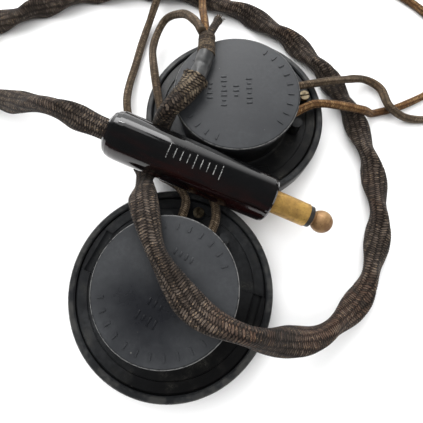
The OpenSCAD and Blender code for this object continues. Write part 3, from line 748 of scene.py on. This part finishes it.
sleeve_brass = brass("tarnished_sleeve", (0.58, 0.36, 0.1, 1), (0.36, 0.21, 0.065, 1), (0.17, 0.1, 0.04, 1), 0.3, 0.45)
ball_brass = brass("tarnished_ball", (0.42, 0.26, 0.12, 1), (0.25, 0.135, 0.065, 1), (0.14, 0.075, 0.04, 1), 0.34, 0.5)
ring_black = matt("ring_moulding", (0.016, 0.015, 0.015, 1), (0.03, 0.027, 0.024, 1), 600, 0.4, 0.03)
# the first colour of each textile is its painted groove shade, which also darkens random fibres
cord_cloth = textile("cord_braid", (0.004, 0.003, 0.0025, 1), (0.034, 0.026, 0.021, 1), (0.075, 0.057, 0.046, 1),
                     (0.135, 0.109, 0.089, 1), (0.37, 0.26, 0.155, 1), CORD_BRAID, (0.1, 0.045, 0.024, 1))
junction_cloth = textile("junction_braid", (0.008, 0.006, 0.005, 1), (0.05, 0.038, 0.028, 1),
                         (0.115, 0.088, 0.062, 1), (0.23, 0.185, 0.13, 1), (0.42, 0.31, 0.19, 1), DOUBLE_BRAID)
thread = textile("wound_thread", (0.006, 0.005, 0.004, 1), (0.028, 0.022, 0.018, 1), (0.065, 0.048, 0.035, 1),
                 (0.13, 0.1, 0.07, 1), (0.28, 0.2, 0.12, 1))
olive = textile("lead_olive", (0.02, 0.013, 0.008, 1), (0.085, 0.062, 0.04, 1), (0.15, 0.11, 0.073, 1),
                (0.24, 0.185, 0.13, 1), (0.36, 0.26, 0.16, 1), LEAD_BRAID, (0.16, 0.085, 0.038, 1))
brown = textile("lead_brown", (0.03, 0.013, 0.005, 1), (0.13, 0.064, 0.026, 1), (0.24, 0.125, 0.048, 1),
                (0.36, 0.23, 0.11, 1), (0.5, 0.33, 0.16, 1), LEAD_BRAID, (0.3, 0.13, 0.03, 1))

COMMON = {
    "gasket": fibre_board, "diaphragm": iron, "magnet": magnet_steel, "pole_pieces": iron,
    "coil_bobbins": bobbin, "coil_windings": copper, "magnet_screws": screw, "terminal_plates": terminal_brass,
    "terminal_screws": screw, "anchor_screw": old_screw, "lead_tips": terminal_brass,
}
for which, moulding in (("lower", lower), ("upper", upper)):
    wear(NODES[which + "_housing"], moulding)
    wear(NODES[which + "_ear_cap"], moulding)
    for piece, material in COMMON.items():
        wear(NODES[which + "_" + piece], material)
for piece, material in (
    ("plug_shell", shell_plastic()), ("plug_sleeve", sleeve_brass), ("plug_tip", ball_brass),
    ("plug_ring", ring_black), ("plug_insulator", bobbin), ("plug_terminals", terminal_brass),
    ("plug_screws", screw), ("plug_binding", fibre_board), ("plug_washer", fibre_board),
):
    wear(NODES[piece], material)

for (ob, path, run), node, slot, material in (
    (main_cord(), "main_cord", "cord_braid", cord_cloth),
    (doubled_braid(), "junction_braid", "cord_braid", junction_cloth),
    (sleeving(), "junction_sleeving", "sleeving", varnish()),
    (whipping(), "junction_whipping", "thread", thread),
    (tie_stub(), "junction_stub", "thread", thread),
    (lead("near_lead_braid", longer(NEAR, start=1.4), 31, 0.16), "near_lead", "lead_olive", olive),
    (lead("jumper_braid", JUMPER, 41, 0.2), "jumper_lead", "lead_olive", olive),
    (lead("far_lead_braid", longer(FAR, start=1.4), 51, 0.17), "far_lead", "lead_brown", brown),
):
    wear(ob, material)
    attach(ob, "set")
    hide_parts(node)


for ob, body, slot, material in (
    (barrel_marks(), "plug_shell", "shell", mark_paint()),
    (plate_marks("upper_plate_bars", "upper", (
        (7.5, 90, (1.6, 1.6, 1.1, 1.6)), (3.6, 90, (1.6, 1.1, 1.6, 1.6, 1.1, 1.6, 1.6)),
        (0.2, 90, (1.1, 1.6, 1.6)), (-3.4, 90, (1.6, 1.6, 1.1, 1.6, 1.1, 1.6)),
    )), "set", "phenolic", upper),
    (plate_marks("lower_plate_bars", "lower", (
        (8.6, -30, (1.7, 1.2, 1.7, 1.7)), (-4.2, -30, (1.7, 1.7, 1.2)), (-8, -30, (2.1, 1.5, 2.1, 2.1)),
    )), "set", "phenolic", lower),
):
    wear(ob, material)
    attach(ob, body)


# ---------------------------------------------------------------- stage


def add_floor():
    bpy.ops.mesh.primitive_plane_add(size=4)
    floor = bpy.context.object
    floor.name = "floor"
    g = Graph("pale_floor")
    g.set(Base_Color=(0.92, 0.92, 0.92, 1), Roughness=0.9)
    g.shader.inputs["Specular IOR Level"].default_value = 0.0
    floor.data.materials.append(g.material)


def add_sky():
    """A dim studio with a bright wall low behind the object."""
    world = bpy.data.worlds.new("studio")
    bpy.context.scene.world = world
    world.use_nodes = True
    nodes, links = world.node_tree.nodes, world.node_tree.links
    where = nodes.new("ShaderNodeTexCoord")
    split = nodes.new("ShaderNodeSeparateXYZ")
    ramp = nodes.new("ShaderNodeMapRange")
    ramp.interpolation_type = "SMOOTHSTEP"
    ramp.inputs["From Min"].default_value = 0.6
    ramp.inputs["From Max"].default_value = 0.85
    ramp.inputs["To Min"].default_value = 0.1
    ramp.inputs["To Max"].default_value = 1.6
    links.new(where.outputs["Generated"], split.inputs[0])
    links.new(split.outputs["Y"], ramp.inputs["Value"])
    links.new(ramp.outputs["Result"], nodes["Background"].inputs["Strength"])
    nodes["Background"].inputs["Color"].default_value = (1, 1, 1, 1)


def add_panel(name, at, size_x, size_y, power, seen=True):
    lamp = bpy.data.lights.new(name, "AREA")
    lamp.shape = "RECTANGLE"
    lamp.size = size_x
    lamp.size_y = size_y
    lamp.energy = power
    ob = bpy.data.objects.new(name, lamp)
    ob.location = at
    ob.rotation_euler = (-Vector(at)).to_track_quat("-Z", "Y").to_euler()
    ob.visible_glossy = seen
    bpy.context.collection.objects.link(ob)


add_floor()
add_sky()
add_panel("wall", (-0.02, 0.5, 0.38), 0.46, 0.26, 1.9)
add_panel("shelf", (-0.04, 0.38, 0.58), 0.4, 0.18, 0.35)
add_panel("strip", (-0.06, 0.42, 0.47), 0.26, 0.008, 0.28)
add_panel("top_left", (-0.5, 0.25, 0.9), 1.2, 1.2, 14, False)
add_panel("top_right", (0.6, -0.3, 0.9), 1.2, 1.2, 9, False)
bpy.context.scene.view_settings.view_transform = "Standard"
